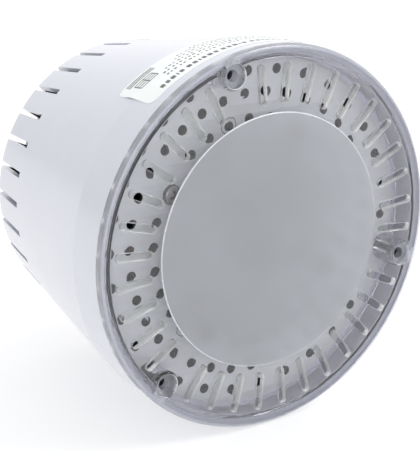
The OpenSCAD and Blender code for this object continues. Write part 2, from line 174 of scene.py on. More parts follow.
class Shape:
    """Collects closed solids, each with a material number, into one mesh."""

    def __init__(self):
        self.verts, self.faces, self.numbers = [], [], []

    def add(self, verts, faces, number=0):
        base = len(self.verts)
        self.verts += verts
        self.faces += [[base + i for i in f] for f in faces]
        self.numbers += [number] * len(faces)

    def revolve(self, outline, angles=96, centre=(0, 0), number=0, bend=None):
        """Turns a closed outline about an axis, or one that ends on it.

        bend(r, d, angle) may move a point.
        """
        if isinstance(angles, int):
            angles = [i * 360 / angles for i in range(angles)]
        verts, k, n = [], len(outline), len(angles)
        for angle in angles:
            for r, d in outline:
                if bend:
                    r, d, turned = bend(r, d, angle)
                else:
                    turned = angle
                x, y = polar(r, turned)
                verts.append(place(centre[0] + x, centre[1] + y, d))
        walls = [j for j in range(k) if outline[j][0] > 0 or outline[(j + 1) % k][0] > 0]
        faces = [[i * k + j, i * k + (j + 1) % k, (i + 1) % n * k + (j + 1) % k, (i + 1) % n * k + j]
                 for i in range(n) for j in walls]
        self.add(verts, faces, number)

    def slab(self, x, y, w, h, from_d, to_d, turn=0, chamfer=0.0, number=0):
        """A block turned about its own middle, with its upright and front edges chamfered."""
        def corners(inset):
            a, b, c = w / 2 - inset, h / 2 - inset, max(chamfer - inset, 0)
            return [(a - c, b), (-a + c, b), (-a, b - c), (-a, -b + c),
                    (-a + c, -b), (a - c, -b), (a, -b + c), (a, b - c)]
        cos, sin = polar(1, turn)
        rings = [(chamfer * 0.6, from_d), (0, from_d + chamfer * 0.6), (0, to_d)]
        verts = [place(x + u * cos - v * sin, y + u * sin + v * cos, d)
                 for inset, d in rings for u, v in corners(inset)]
        faces = [[r * 8 + i, r * 8 + (i + 1) % 8, (r + 1) * 8 + (i + 1) % 8, (r + 1) * 8 + i]
                 for r in range(2) for i in range(8)]
        self.add(verts, faces + [list(range(7, -1, -1)), list(range(16, 24))], number)

    def build(self, name, materials, sharp=32, weld=1e-7):
        mesh = bpy.data.meshes.new(name)
        mesh.from_pydata(self.verts, [], self.faces)
        for material in materials:
            mesh.materials.append(material)
        mesh.polygons.foreach_set("material_index", self.numbers)
        bm = bmesh.new()
        bm.from_mesh(mesh)
        bmesh.ops.remove_doubles(bm, verts=bm.verts, dist=weld)
        bmesh.ops.dissolve_degenerate(bm, edges=bm.edges, dist=weld)
        bmesh.ops.recalc_face_normals(bm, faces=bm.faces)
        bm.to_mesh(mesh)
        bm.free()
        mesh.shade_smooth()
        mesh.set_sharp_from_angle(angle=math.radians(sharp))
        obj = bpy.data.objects.new(name, mesh)
        bpy.context.scene.collection.objects.link(obj)
        return obj


def soften(obj, width, segments=2, angle=35):
    """Rounds an object's sharp edges by a width in mm."""
    bevel = obj.modifiers.new("soft_edges", "BEVEL")
    bevel.width = width * MM
    bevel.segments = segments
    bevel.limit_method = "ANGLE"
    bevel.angle_limit = math.radians(angle)
    bevel.harden_normals = True


def combine(obj, operation, tool):
    """Joins or cuts obj with tool for good, and removes the tool."""
    modifier = obj.modifiers.new("combine", "BOOLEAN")
    modifier.operation = operation
    modifier.object = tool
    modifier.solver = "EXACT"
    bpy.context.view_layer.update()
    depsgraph = bpy.context.evaluated_depsgraph_get()
    mesh = bpy.data.meshes.new_from_object(obj.evaluated_get(depsgraph))
    obj.modifiers.clear()
    obj.data = mesh
    bpy.data.objects.remove(tool)


def finish_piece(obj, body, slot, *stands_for):
    if stands_for:
        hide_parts(*stands_for)
    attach(obj, body)


# ---------------------------------------------------------------- materials

class Surface:
    """A node-based material around one Principled shader, with detail laid on in object space."""

    def __init__(self, name, color, roughness, **sockets):
        self.material = bpy.data.materials.new(name)
        self.material.use_nodes = True
        self.tree = self.material.node_tree
        self.shader = self.tree.nodes["Principled BSDF"]
        self.color, self.roughness = color, roughness
        self.shader.inputs["Base Color"].default_value = (*color, 1)
        self.shader.inputs["Roughness"].default_value = roughness
        for socket, value in sockets.items():
            self.shader.inputs[socket.replace("_", " ")].default_value = value
        self.bumps = None

    def node(self, kind, **values):
        made = self.tree.nodes.new(kind)
        for key, value in values.items():
            setattr(made, key, value)
        return made

    def link(self, a, b):
        self.tree.links.new(a, b)

    def noise(self, scale, detail=3.0, stretch=(1, 1, 1), distortion=0.0):
        """A noise pattern with a scale in cells per metre."""
        coords = self.node("ShaderNodeTexCoord")
        mapping = self.node("ShaderNodeMapping")
        mapping.inputs["Scale"].default_value = stretch
        self.link(coords.outputs["Object"], mapping.inputs["Vector"])
        noise = self.node("ShaderNodeTexNoise")
        noise.inputs["Scale"].default_value = scale
        noise.inputs["Detail"].default_value = detail
        noise.inputs["Distortion"].default_value = distortion
        self.link(mapping.outputs["Vector"], noise.inputs["Vector"])
        return noise.outputs["Fac"]

    def spread(self, source, low, high):
        """Maps a pattern's middle range to low..high."""
        ramp = self.node("ShaderNodeMapRange")
        ramp.inputs["From Min"].default_value = 0.3
        ramp.inputs["From Max"].default_value = 0.7
        ramp.inputs["To Min"].default_value = low
        ramp.inputs["To Max"].default_value = high
        self.link(source, ramp.inputs["Value"])
        return ramp.outputs["Result"]

    def tint(self, other, scale, detail=3.0, low=0.0, high=1.0, **noise):
        """Blends the colour towards another one by a noise pattern."""
        mix = self.node("ShaderNodeMix", data_type="RGBA")
        mix.inputs["A"].default_value = (*self.color, 1)
        mix.inputs["B"].default_value = (*other, 1)
        socket = self.shader.inputs["Base Color"]
        if socket.is_linked:
            self.link(socket.links[0].from_socket, mix.inputs["A"])
        self.link(self.spread(self.noise(scale, detail, **noise), low, high), mix.inputs["Factor"])
        self.link(mix.outputs["Result"], socket)
        return self

    def rough(self, low, high, scale, detail=4.0, **noise):
        """Varies the roughness by a noise pattern."""
        pattern = self.noise(scale, detail, **noise)
        self.link(self.spread(pattern, low, high), self.shader.inputs["Roughness"])
        return self

    def bump(self, depth, scale, detail=3.0, **noise):
        """Adds relief of a depth in mm by a noise pattern."""
        return self.relief(self.noise(scale, detail, **noise), depth)

    def relief(self, pattern, depth):
        bump = self.node("ShaderNodeBump")
        bump.inputs["Strength"].default_value = 1
        bump.inputs["Distance"].default_value = depth * MM
        self.link(pattern, bump.inputs["Height"])
        if self.bumps:
            self.link(self.bumps, bump.inputs["Normal"])
        self.bumps = bump.outputs["Normal"]
        self.link(self.bumps, self.shader.inputs["Normal"])
        return self


def plastic(name, color, roughness, shade=0.85, grain=1500, depth=0.012, **sockets):
    """Moulded plastic: faint flow marks in its colour, a fine moulded grain and uneven gloss."""
    other = [c * shade for c in color]
    return (Surface(name, color, roughness, **sockets)
            .tint(other, 25, 2.0, 0, 0.5)
            .rough(roughness * 0.8, roughness * 1.35, 90)
            .bump(depth, grain).material)


def metal(name, color, roughness, brushed=(1, 14, 1), depth=0.01, shade=0.72, **sockets):
    """Bare metal: brushed streaks, dull patches and fine scratches."""
    other = [c * shade for c in color]
    return (Surface(name, color, roughness, Metallic=1.0, **sockets)
            .tint(other, 160, 5.0, 0, 0.8, stretch=brushed)
            .rough(roughness * 0.65, roughness * 1.5, 220, stretch=brushed)
            .bump(depth, 900, stretch=brushed).material)


housing_white = (
    Surface("housing_white", (0.66, 0.675, 0.74), 0.22, Coat_Weight=0.4, Coat_Roughness=0.06,
            Specular_IOR_Level=0.5)
    .tint((0.70, 0.71, 0.765), 9, 2.0, 0, 0.8)
    .tint((0.62, 0.635, 0.70), 60, 4.0, -0.1, 0.2)
    .rough(0.2, 0.25, 1200, 2.0)
    .bump(0.012, 18, 1.0)
    .material)
# painted shade: the housing's inner faces, pillars and posts take a dark grey instead of its white plastic,
# standing in for the shade inside the housing
housing_inside_painted_shade = plastic("housing_inside_painted_shade", (0.24, 0.245, 0.27), 0.6, depth=0.02)
# painted light: a lighter copy of the housing's plastic on the ledge behind the board and the inner front
# wall, standing in for light that reaches them through the lens
housing_wall_painted_light = plastic("housing_wall_painted_light", (0.88, 0.86, 0.94), 0.4, shade=0.95, depth=0.004)

lens_clear = (
    Surface("lens_clear", (0.96, 0.96, 1.0), 0.02, Transmission_Weight=0.985, IOR=1.58,
            Specular_Tint=(0.6, 0.6, 0.6, 1))
    .rough(0.0, 0.05, 120)
    .bump(0.015, 22, 1.0)
    .material)

lens_rim = (
    Surface("lens_rim", (0.75, 0.76, 0.825), 0.16, Transmission_Weight=0.72, IOR=1.58)
    .rough(0.1, 0.22, 150)
    .bump(0.012, 30, 1.0)
    .material)

lens_frosted = (
    Surface("lens_frosted", (0.42, 0.435, 0.465), 0.42, Transmission_Weight=0.42, IOR=1.5)
    .tint((0.35, 0.36, 0.385), 22, 2.0, 0, 0.8)
    .tint((0.485, 0.50, 0.535), 9, 1.0, -0.2, 0.7)
    .rough(0.34, 0.5, 12, 3.0)
    .bump(0.008, 2200, 2.0)
    .material)

# painted highlight: the slot walls take a whiter, half-diffuse copy of the clear plastic, standing in for the
# bright crescents of light at the slot ends
lens_cut_painted_glint = (
    Surface("lens_cut_painted_glint", (1.0, 1.0, 1.0), 0.12, Transmission_Weight=0.5, IOR=1.58)
    .rough(0.08, 0.2, 300)
    .material)

lens_satin = (
    Surface("lens_satin", (0.68, 0.69, 0.74), 0.3, Transmission_Weight=0.75, IOR=1.5)
    .tint((0.62, 0.63, 0.68), 300)
    .rough(0.25, 0.42, 400)
    .bump(0.01, 1500)
    .material)

# painted highlight: a much lighter copy of the frosted finish on the disc's edge chamfer, which draws the
# bright line round the disc
lens_frosted_edge_painted_highlight = (
    Surface("lens_frosted_edge_painted_highlight", (0.80, 0.82, 0.85), 0.25, Transmission_Weight=0.2, IOR=1.5)
    .tint((0.70, 0.72, 0.76), 90)
    .rough(0.2, 0.35, 200)
    .material)

label_film = (
    Surface("label_film", (0.95, 0.975, 0.96), 0.55, Sheen_Weight=0.05)
    .tint((0.85, 0.875, 0.86), 30, 4.0, 0, 0.6)
    .rough(0.45, 0.7, 150)
    .bump(0.02, 700, 4.0)
    .material)

label_ink = (
    Surface("label_ink", (0.11, 0.115, 0.12), 0.6)
    .tint((0.24, 0.245, 0.25), 1800, 2.0, 0, 0.9)
    .rough(0.5, 0.75, 400)
    .material)

board_white = (
    Surface("board_white", (0.82, 0.84, 0.83), 0.42, Coat_Weight=0.15, Coat_Roughness=0.25)
    .tint((0.76, 0.79, 0.785), 45, 4.0, 0, 0.7)
    .rough(0.36, 0.52, 200)
    .bump(0.03, 180, 1.0, stretch=(1, 0.2, 6))
    .bump(0.004, 2500)
    .material)

board_dark_marks = Surface("board_dark_marks", (0.05, 0.055, 0.06), 0.5).tint((0.12, 0.12, 0.13), 900).rough(
    0.4, 0.6, 300).material
# painted shade: the walls of the board's air holes take a near-black, standing in for the dark seen through
# the holes
board_hole_wall_painted_shade = plastic("board_hole_wall_painted_shade", (0.09, 0.095, 0.09), 0.6, grain=3000)
black_steel = metal("black_steel", (0.05, 0.05, 0.055), 0.4)
zinc_steel = metal("zinc_steel", (0.62, 0.61, 0.60), 0.3)
screw_steel = metal("screw_steel", (0.40, 0.375, 0.36), 0.35, brushed=(14, 1, 1), shade=0.5)
aluminium = metal("aluminium", (0.66, 0.67, 0.69), 0.32, brushed=(1, 1, 18))
base_shell = metal("base_shell", (0.74, 0.71, 0.64), 0.22, brushed=(3, 1, 3), depth=0.006)
bright_steel = metal("bright_steel", (0.78, 0.78, 0.80), 0.15, brushed=(6, 1, 6), depth=0.002)
bronze = metal("bronze", (0.72, 0.52, 0.27), 0.35, brushed=(1, 1, 1))
lamination = metal("lamination", (0.40, 0.40, 0.42), 0.45, brushed=(0.2, 30, 0.2), depth=0.04)
copper_wire = metal("copper_wire", (0.72, 0.33, 0.13), 0.28, brushed=(1, 26, 1), depth=0.05)
ferrite = plastic("ferrite", (0.045, 0.045, 0.05), 0.55, grain=2600, depth=0.03)
nylon = plastic("nylon", (0.80, 0.78, 0.70), 0.45)
fan_black = plastic("fan_black", (0.025, 0.025, 0.028), 0.45, shade=0.6, depth=0.03)
rotor_black = plastic("rotor_black", (0.035, 0.035, 0.04), 0.35, shade=0.6)
board_green = (
    Surface("board_green", (0.012, 0.055, 0.028), 0.3, Coat_Weight=0.3, Coat_Roughness=0.15)
    .tint((0.02, 0.085, 0.045), 220, 1.0, 0, 0.9, stretch=(1, 0.2, 5))
    .rough(0.25, 0.42, 200)
    .bump(0.035, 220, 1.0, stretch=(1, 0.2, 5))
    .material)
transformer_core = plastic("transformer_core", (0.09, 0.085, 0.08), 0.6, grain=2200, depth=0.04)
capacitor_sleeve = plastic("capacitor_sleeve", (0.03, 0.045, 0.16), 0.25, grain=600, depth=0.03)
capacitor_yellow = plastic("capacitor_yellow", (0.72, 0.52, 0.05), 0.35)
chip_black = plastic("chip_black", (0.03, 0.03, 0.032), 0.55, grain=4000, depth=0.02)
fuse_glass = (
    Surface("fuse_glass", (0.88, 0.90, 0.90), 0.05, Transmission_Weight=0.7, IOR=1.47)
    .rough(0.02, 0.1, 300)
    .bump(0.01, 400)
    .material)
insulator_black = plastic("insulator_black", (0.015, 0.012, 0.014), 0.12, grain=500, depth=0.02,
                          Coat_Weight=0.6, Coat_Roughness=0.05)
wire_black = plastic("wire_black", (0.02, 0.02, 0.022), 0.5, grain=2500)
wire_white = plastic("wire_white", (0.78, 0.78, 0.75), 0.45, grain=2500)
wire_red = plastic("wire_red", (0.50, 0.025, 0.02), 0.42, grain=2500)
emitter_body = plastic("emitter_body", (0.80, 0.80, 0.78), 0.4, grain=5000)
emitter_phosphor = plastic("emitter_phosphor", (0.86, 0.66, 0.10), 0.25, grain=6000,
                           Subsurface_Weight=0.2)


# ---------------------------------------------------------------- housing

CONE_SLOPE = (KNEE_R - REAR_R) / (REAR_D - KNEE_D)


def cone_r(d):
    return KNEE_R - CONE_SLOPE * (d - KNEE_D)


def vent_run(gap, corner_r):
    """Points along the skin under a vent slot, gap inside the outer skin: cone, corner, rear face."""
    front = (cone_r(VENT_D) - gap, VENT_D)
    turn = (cone_r(REAR_D - gap) - gap, REAR_D - gap, corner_r)
    inner = (VENT_END_R, REAR_D - gap)
    bent = rounded([front, turn, inner], steps=6, closed=False)
    def between(a, b, n):
        return [(a[0] + (b[0] - a[0]) * i / n, a[1] + (b[1] - a[1]) * i / n) for i in range(n)]
    return between(front, bent[1], 6) + bent[1:-1] + between(bent[-2], inner, 4)[1:] + [inner]


def build_housing():
    outer, inner = vent_run(0, CORNER_R), vent_run(WALL, 1.0)
    front = rounded([
        (LEDGE_R, BOARD_D + BOARD_T), (cone_r(BOARD_D) - WALL - 1, BOARD_D + BOARD_T),
        (RIM_R - 0.15 - WALL, EDGE_D + EDGE_GAP, 0.3), (RIM_R - 0.15, EDGE_D + EDGE_GAP, 0.35),
        (KNEE_R, KNEE_D, 6),
        outer[0]], closed=False)[:-1]
    rear = rounded([
        outer[-1], (NECK_R + 5, REAR_D, 1.5), (NECK_R, REAR_D + 3, 2), (NECK_R - 3, NECK_D, 0.4),
        (SHELL_IN_R - 0.05, NECK_D), (SHELL_IN_R - 0.05, SPIGOT_END, 0.3),
        (NECK_BORE_R, SPIGOT_END, 0.3), (NECK_BORE_R, REAR_D - WALL, 0.5), inner[-1]],
        closed=False)[1:-1]
    back = [(cone_r(KNEE_D) - WALL, KNEE_D), (LEDGE_R, BOARD_D + BOARD_T + LEDGE_T)]
    outline = front + outer + rear + inner[::-1] + back
    rows = len(outline)
    outer_at = len(front)
    inner_at = outer_at + len(outer) + len(rear)
    runs = len(outer)
    columns = 7
    half_slot = VENT_W / 2

    def turned(index, r):
        """A column's angle: slot edges stay parallel, and the land between two slots is shared out."""
        sector, column = divmod(index, columns + 1)
        edge = math.degrees(math.asin(half_slot / max(r, VENT_END_R)))
        middle = FIRST_VENT + sector * 360 / VENTS
        if column == 0:
            return middle - edge
        return middle + edge + (column - 1) * (360 / VENTS - 2 * edge) / columns

    shape = Shape()
    count = VENTS * (columns + 1)
    verts, numbers = [], []
    for index in range(count):
        for r, d in outline:
            angle = turned(index, r)
            x, y = polar(r, angle)
            verts.append(place(x, y, d))
    faces = []
    for index in range(count):
        following = (index + 1) % count
        slot_here = index % (columns + 1) == 0
        for j in range(rows):
            cut = outer_at <= j < outer_at + runs - 1 or inner_at <= j < inner_at + runs - 1
            if slot_here and cut:
                continue
            k = (j + 1) % rows
            faces.append([index * rows + j, index * rows + k, following * rows + k, following * rows + j])
            # material numbers: 1 is the dark painted shade on the inner faces, 2 the lighter painted light on
            # the ledge and inner front wall
            numbers.append(1 if j >= inner_at - 1 else 2 if j < 2 else 0)
        if slot_here:
            for side in (index, following):
                for i in range(runs - 1):
                    o, n = side * rows + outer_at + i, side * rows + inner_at + runs - 1 - i
                    faces.append([o, o + 1, n - 1, n])
                    numbers.append(0)
            for i in (0, runs - 1):
                o, n = outer_at + i, inner_at + runs - 1 - i
                faces.append([index * rows + o, following * rows + o, following * rows + n, index * rows + n])
                numbers.append(0)
    shape.add(verts, faces)
    shape.numbers = numbers
    housing = shape.build("housing_shell", [housing_white, housing_inside_painted_shade, housing_wall_painted_light], sharp=28)
    notches, posts = Shape(), Shape()
    for k in range(3):
        place_of_boss = polar(POCKET_R, CLOCK + 120 * k)
        notches.revolve([(0, 1), (BOSS_R + 0.3, 1), (BOSS_R + 0.3, BOARD_D + 0.3), (0, BOARD_D + 0.3)],
                        96, place_of_boss)
        posts.revolve([(PILLAR_PILOT_R, PILLAR_FROM), (PILLAR_R, PILLAR_FROM), (PILLAR_R, PILLAR_TO),
                       (0, PILLAR_TO), (0, PILLAR_PILOT_END), (PILLAR_PILOT_R, PILLAR_PILOT_END)],
                      32, place_of_boss, 1)
    for k in range(4):
        posts.revolve([(POST_PILOT_R, POST_FROM), (POST_R, POST_FROM), (POST_FOOT_R, REAR_D - 2),
                       (0, REAR_D - 2), (0, POST_PILOT_END), (POST_PILOT_R, POST_PILOT_END)],
                      32, polar(POST_AT_R, 45 + 90 * k), 1)
    combine(housing, "DIFFERENCE", notches.build("notches", []))
    combine(housing, "UNION", posts.build("posts", [housing_white, housing_inside_painted_shade]))
    housing.data.shade_smooth()
    housing.data.set_sharp_from_angle(angle=math.radians(28))
    soften(housing, 0.3, angle=50)
    finish_piece(housing, "lamp", "housing_white", "rear_housing")


# ---------------------------------------------------------------- lens

def slot_cutter(shape, angle):
    """The cutter for one of the lens's open slots: a bar with round ends that flares at both faces."""
    arc_steps = 10
    levels = [(-SLOT_EASE - 1, -1), (-SLOT_EASE, 0), (0, SLOT_EASE), (0, PLATE_T - SLOT_EASE),
              (-SLOT_EASE, PLATE_T), (-SLOT_EASE - 1, PLATE_T + 1)]
    inner, outer = SLOT_IN_R + SLOT_HALF_W, SLOT_OUT_R - SLOT_HALF_W
    cos, sin = polar(1, angle)
    verts = []
    for inset, d in levels:
        size = SLOT_HALF_W - inset
        ends = [(outer, t) for t in range(-90, 91, 180 // arc_steps)]
        ends += [(inner, t) for t in range(90, 271, 180 // arc_steps)]
        for x0, t in ends:
            u, v = polar(size, t)
            u += x0
            verts.append(place(u * cos - v * sin, u * sin + v * cos, d))
    n = 2 * (arc_steps + 1)
    faces = [[r * n + i, r * n + (i + 1) % n, (r + 1) * n + (i + 1) % n, (r + 1) * n + i]
             for r in range(len(levels) - 1) for i in range(n)]
    faces += [list(range(n)), list(range((len(levels) - 1) * n, len(levels) * n))]
    shape.add(verts, faces)


def build_lens():
    plate = Shape()
    plate.revolve(rounded([
        (0, -DISC_T), (DISC_R - 0.45, -DISC_T, 0.1), (DISC_R, 0, 0.1), (RIM_R, 0, 1.6), (RIM_R, EDGE_D, 0.15),
        (SKIRT_OUT_R, EDGE_D), (SKIRT_OUT_R, SKIRT_END, 0.25), (SKIRT_IN_R, SKIRT_END, 0.25),
        (SKIRT_IN_R, PLATE_T, 0.35), (0, PLATE_T)], 6), 288)
    lens = plate.build("lens_cover", [lens_clear, lens_frosted, lens_frosted_edge_painted_highlight, lens_satin, lens_rim,
                                      lens_cut_painted_glint])

    bosses, slots = Shape(), Shape()
    for i in range(SLOT_PLACES):
        if i % (SLOT_PLACES // 3):
            slot_cutter(slots, CLOCK + i * 360 / SLOT_PLACES)
    for k in range(3):
        bosses.revolve(rounded([(0, PLATE_T - 1), (BOSS_R, PLATE_T - 1), (BOSS_R, BOARD_D, 0.4),
                                (0, BOARD_D)]), 64, polar(POCKET_R, CLOCK + 120 * k))
    combine(lens, "UNION", bosses.build("bosses", []))
    combine(lens, "DIFFERENCE", slots.build("slots", []))

    sink = rounded([
        (0, -2), (SINK_R + 0.3, -2), (SINK_R + 0.3, -0.02), (SINK_R, 0.3), (SINK_R, 2.2, 0.3),
        (SCREW_BORE_R, 2.2, 0.1), (SCREW_BORE_R, SCREW_SEAT_D), (1.3, SCREW_SEAT_D), (1.3, BOARD_D + 2),
        (0, BOARD_D + 2)])
    for k in range(3):
        pocket = Shape()
        pocket.revolve(sink, [1 + i * 5 for i in range(72)], polar(POCKET_R, CLOCK + 120 * k))
        combine(lens, "DIFFERENCE", pocket.build("pocket", []))
    lens.data.shade_smooth()
    lens.data.set_sharp_from_angle(angle=math.radians(30))
    flat_y, plate_y, seat_y = (place(0, 0, d).y for d in (0.02 - DISC_T, -0.02, SCREW_SEAT_D - 0.1))
    flat_cut_y = place(0, 0, PLATE_T).y
    axes = [place(*polar(POCKET_R, CLOCK + 120 * k), 0) for k in range(3)]
    for face in lens.data.polygons:
        at = face.center
        in_pocket = any(math.hypot(at.x - p.x, at.z - p.z) < SINK_R * MM for p in axes)
        if math.hypot(at.x, at.z) < DISC_R * MM:
            # the disc's edge chamfer (2) takes the painted highlight
            face.material_index = 1 if at.y < flat_y else 2 if at.y < plate_y else 0
        elif in_pocket:
            face.material_index = 3 if at.y < seat_y else 0
        elif math.hypot(at.x, at.z) > SKIRT_OUT_R * MM:
            face.material_index = 4
        # the slot walls (5) take the painted highlight
        elif math.hypot(at.x, at.z) < SLOT_OUT_R * MM and abs(face.normal.y) < 0.9 and at.y < flat_cut_y:
            face.material_index = 5
    finish_piece(lens, "lamp", "lens_clear", "front_lens")


# ---------------------------------------------------------------- label

LABEL_FROM = -130
LABEL_TO = -52
LABEL_FRONT = 7.8
LABEL_REAR = 34.2
PRINT_STAND = 0.165
PRINT_T = 0.02


def skin_r(d):
    """The housing's outer radius at a depth, with the knee eased as on the housing itself."""
    collar = RIM_R - 0.15 - (RIM_R - 0.15 - KNEE_R) * (d - EDGE_D) / (KNEE_D - EDGE_D)
    ease = 0.6
    blend = (cone_r(d) + collar) / 2 - math.sqrt(((cone_r(d) - collar) / 2) ** 2 + 0.02 * ease)
    return blend + 0.045


def wrinkle(angle, d):
    """How far the label stands off the housing, most of all at its loose left end."""
    along = (angle - LABEL_FROM) * math.radians(1) * KNEE_R
    lift = 0.5 * math.exp(-along / 3.0) * math.exp(-((d - 22) / 4.5) ** 2)
    ripple = 0.035 * math.sin(along * 0.55 + d * 0.3) * math.exp(-((d - 20) / 6) ** 2)
    return max(lift + ripple, 0)


def skin_slab(shape, from_angle, to_angle, from_d, to_d, stand, thickness, corner=0.0, lift=None):
    """A thin closed patch that follows the housing's skin, with rounded corners."""
    span = math.radians(to_angle - from_angle) * KNEE_R
    across = max(2, int(span / 1.1))
    down = max(2, int((to_d - from_d) / 0.8))
    verts = []
    for layer in (0, thickness):
        for j in range(down + 1):
            d = from_d + (to_d - from_d) * j / down
            near = min(d - from_d, to_d - d)
            cut = corner - math.sqrt(max(corner ** 2 - max(corner - near, 0) ** 2, 0)) if near < corner else 0
            trim = math.degrees(cut / KNEE_R)
            for i in range(across + 1):
                angle = from_angle + trim + (to_angle - from_angle - 2 * trim) * i / across
                r = skin_r(d) + stand + layer + (lift(angle, d) if lift else 0)
                x, y = polar(r, angle)
                verts.append(place(x, y, d))
    n, size = across + 1, (across + 1) * (down + 1)
    faces = []
    for j in range(down):
        for i in range(across):
            a = j * n + i
            quad = [a, a + 1, a + n + 1, a + n]
            faces.append(quad[::-1])
            faces.append([size + q for q in quad])
    border = [i for i in range(across)] + [j * n + across for j in range(down)]
    border += [down * n + i for i in range(across, 0, -1)] + [j * n for j in range(down, 0, -1)]
    for a, b in zip(border, border[1:] + border[:1]):
        faces.append([a, b, size + b, size + a])
    shape.add(verts, faces)


def build_label():
    film = Shape()
    skin_slab(film, LABEL_FROM, LABEL_TO, LABEL_FRONT, LABEL_REAR, 0.01, 0.15, corner=3.2, lift=wrinkle)
    finish_piece(film.build("label_film", [label_film]), "lamp", "label_paper", "rating_label")

    ink = Shape()
    # each line of plain blocks: depth, height, first and last angle, the gap between blocks and the
    # blocks' lengths in degrees, 0 for a wider gap
    lines = [(11.4, 2.3, -124, -60, 0.55, (1.5, 1.3, 1.6, 0.6, 1.4, 0, 1.6, 1.5, 0.7, 1.3, 1.6, 1.4, 0)),
             (16.2, 1.0, -119, -62, 0.5, (0.9, 0.7, 1.1, 0, 0.8, 0.9, 0, 1.2, 0.7, 0.9, 0.5, 0)),
             (18.8, 1.0, -119, -66, 0.5, (1.1, 0.8, 0, 0.9, 0.6, 1.0, 0, 0.7, 0.8, 1.2, 0)),
             (21.4, 1.0, -117, -60, 0.5, (0.8, 1.0, 0.7, 0, 1.1, 0.6, 0, 0.9, 1.0, 0)),
             (24.4, 1.0, -112, -72, 0.5, (0.7, 1.1, 0.9, 0, 0.8, 1.2, 0)),
             (27.4, 1.0, -110, -58, 0.5, (1.0, 0.6, 0, 0.9, 0.8, 1.1, 0.7, 0)),
             (30.2, 1.0, -104, -64, 0.5, (0.9, 1.1, 0.7, 0, 0.8, 0.9, 0))]
    for depth, height, start, stop, gap, blocks in lines:
        angle, i = start, 0
        while angle < stop:
            length = blocks[i % len(blocks)]
            if length:
                skin_slab(ink, angle, angle + length, depth - height / 2, depth + height / 2,
                          PRINT_STAND, PRINT_T, corner=0.2, lift=wrinkle)
            angle += length + gap
            i += 1
    # a plain ruled panel with three bars beside it, where the print is thickest
    for depth in (21.5, 23.4, 25.3, 27.2):
        skin_slab(ink, -126, -119.5, depth - 0.3, depth + 0.3, PRINT_STAND, PRINT_T, lift=wrinkle)
    for angle in (-126, -122.7, -119.5):
        skin_slab(ink, angle - 0.2, angle + 0.2, 21.5, 27.2, PRINT_STAND, PRINT_T, lift=wrinkle)
    for depth in (29.4, 30.8, 32.2):
        skin_slab(ink, -127, -117, depth - 0.35, depth + 0.35, PRINT_STAND, PRINT_T, lift=wrinkle)
    finish_piece(ink.build("label_print", [label_ink]), "lamp", "label_paper")


# ---------------------------------------------------------------- light board

def plate_with_holes(name, outlines, front, thickness, edge, materials):
    """A flat plate from closed outlines of (x, y) points, the first its edge and the rest its holes."""
    curve = bpy.data.curves.new(name, "CURVE")
    curve.dimensions = "2D"
    curve.fill_mode = "BOTH"
    curve.extrude = (thickness / 2 - edge) * MM
    curve.bevel_depth = edge * MM
    curve.bevel_resolution = 1
    curve.offset = -edge * MM
    for outline in outlines:
        spline = curve.splines.new("POLY")
        spline.points.add(len(outline) - 1)
        for point, (x, y) in zip(spline.points, outline):
            point.co = (x * MM, -y * MM, 0, 1)
        spline.use_cyclic_u = True
    temporary = bpy.data.objects.new(name, curve)
    bpy.context.scene.collection.objects.link(temporary)
    bpy.context.view_layer.update()
    mesh = bpy.data.meshes.new_from_object(temporary.evaluated_get(bpy.context.evaluated_depsgraph_get()))
    bpy.data.objects.remove(temporary)
    middle = place(0, 0, front + thickness / 2)
    mesh.transform(Matrix.Translation(middle) @ Matrix.Rotation(math.radians(90), 4, "X"))
    bm = bmesh.new()
    bm.from_mesh(mesh)
    bmesh.ops.remove_doubles(bm, verts=bm.verts, dist=1e-6)
    bmesh.ops.recalc_face_normals(bm, faces=bm.faces)
    bm.to_mesh(mesh)
    bm.free()
    mesh.materials.clear()
    for material in materials:
        mesh.materials.append(material)
    mesh.shade_smooth()
    mesh.set_sharp_from_angle(angle=math.radians(30))
    obj = bpy.data.objects.new(name, mesh)
    bpy.context.scene.collection.objects.link(obj)
    return obj


def circle(r, centre=(0, 0), steps=40):
    return [(centre[0] + polar(r, i * 360 / steps)[0], centre[1] + polar(r, i * 360 / steps)[1])
            for i in range(steps)]


def board_outline():
    """The board's edge, with a notch towards each lens screw."""
    points = []
    for k in range(3):
        middle = CLOCK + 120 * k
        half = math.degrees(math.asin(1.5 / BOARD_R))
        for t in range(-90, -271, -20):
            u, v = polar(1.5, t)
            x, y = POCKET_R + u, v
            a = math.radians(middle)
            points.append((x * math.cos(a) - y * math.sin(a), x * math.sin(a) + y * math.cos(a)))
        steps = 60
        for i in range(steps + 1):
            points.append(polar(BOARD_R, middle + half + (120 - 2 * half) * i / steps))
    return points


def near_screw(angle):
    return min(abs(angle - s) for s in (45, 135, 225, 315)) < 10


def board_screw_places():
    return [polar(SCREW_SQ / math.sqrt(2), CLOCK + 45 + 90 * k) for k in range(4)]


